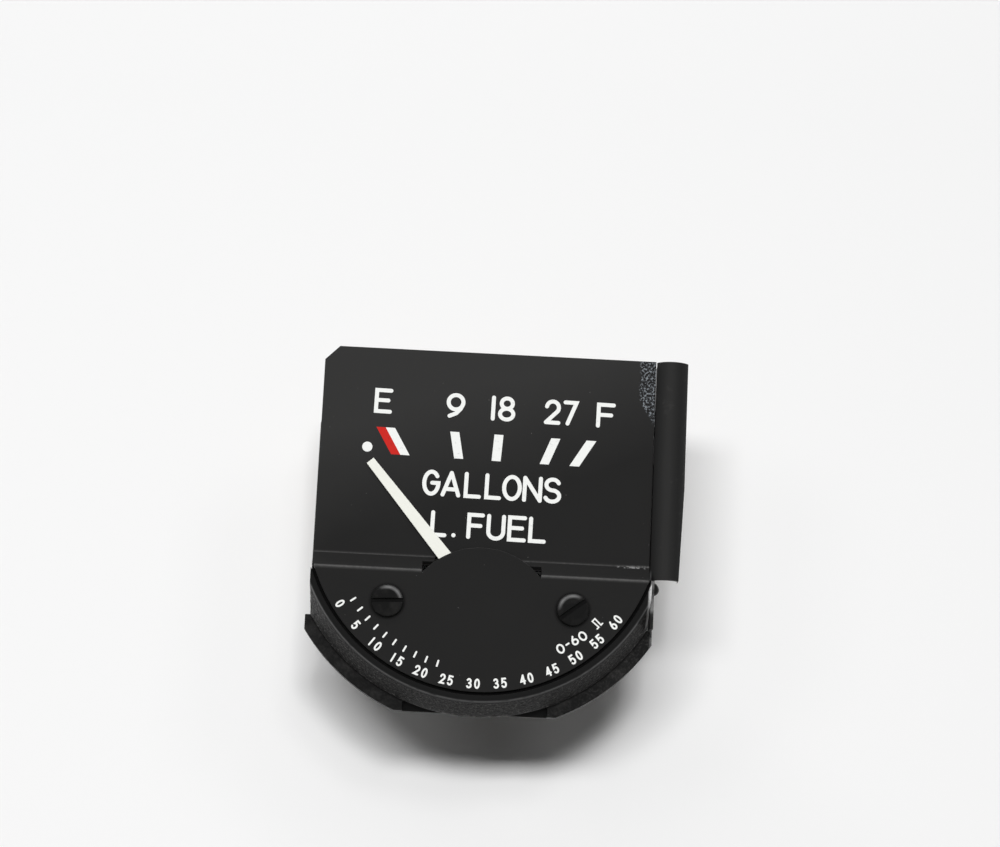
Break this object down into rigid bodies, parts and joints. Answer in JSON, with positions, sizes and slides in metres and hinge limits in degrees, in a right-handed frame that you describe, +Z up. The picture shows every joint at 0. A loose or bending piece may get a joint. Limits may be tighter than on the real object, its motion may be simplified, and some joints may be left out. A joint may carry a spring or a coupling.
{
  "type": "aircraft fuel gauge",
  "caption": "Flanged cluster fuel gauge with a stepped black dial, a white swinging pointer, a rolled side shield and rear terminal studs.",
  "frame": {"origin": "middle of the case's flat back face, on the axis of the round case", "axes": "+Y runs backwards along the terminal studs, so the dial faces -Y; +Z is up on the dial; +X is to the right as the dial is read"},
  "size_m": [0.0493, 0.0375, 0.0483],
  "materials": {
    "dial_paint": "matt black",
    "shield_paint": "satin black",
    "case_paint": "rough crackle black, chipped on the edges",
    "black_screw": "blackened, slightly glossy",
    "pointer_white": "matt cream-white paint",
    "brass": "turned",
    "steel": "bright",
    "soft_iron": "dull annealed",
    "bridge_metal": "satin",
    "jewel": "polished",
    "copper_wire": "enamelled",
    "bobbin_plastic": "moulded",
    "card_board": "laminated",
    "wire_sleeve": "varnished",
    "tinned": "tinned",
    "gasket_rubber": "dull",
    "stud_brass": "dulled",
    "fibre": "vulcanised fibre"
  },
  "bodies": {
    "gauge_body": {"case_front": "case_paint", "case_back": "case_paint", "case_gasket": "gasket_rubber", "case_screws": "black_screw", "dial_plate": "dial_paint", "dial_screws": "black_screw", "dial_pillars": "brass", "light_shield": "shield_paint", "shield_rivets": "shield_paint", "front_bridge": "bridge_metal", "back_bridge": "bridge_metal", "bridge_pillars": "brass", "bridge_screws": "steel", "stop_pins": "steel", "front_bearing": "jewel", "back_bearing": "jewel", "empty_coil": "copper_wire", "full_coil": "copper_wire", "empty_bobbin": "bobbin_plastic", "full_bobbin": "bobbin_plastic", "empty_core": "soft_iron", "full_core": "soft_iron", "yoke": "soft_iron", "yoke_screws": "steel", "return_magnet": "soft_iron", "resistor_card": "card_board", "resistor_winding": "copper_wire", "resistor_rivets": "brass", "lead_wires": "wire_sleeve", "solder_lugs": "tinned", "movement_screws": "steel", "terminal_studs": "stud_brass", "stud_bushes": "fibre", "fibre_washers": "fibre", "plain_washers": "steel", "lock_washers": "steel", "stud_nuts": "stud_brass", "lug_nuts": "stud_brass"},
    "pointer_body": {"pointer": "pointer_white", "pointer_hub": "brass", "counterweight": "brass", "pointer_shaft": "steel", "armature": "soft_iron", "armature_sleeve": "brass"}
  },
  "joints": [
    {"name": "pointer_swing", "type": "hinge", "parent": "gauge_body", "child": "pointer_body", "pos_m": [0, -0.012, -0.0112], "axis": [0, 1, 0], "range_deg": [0, 74], "stiffness_Nm_per_rad": 0.00002, "springref_deg": -11.46}
  ]
}
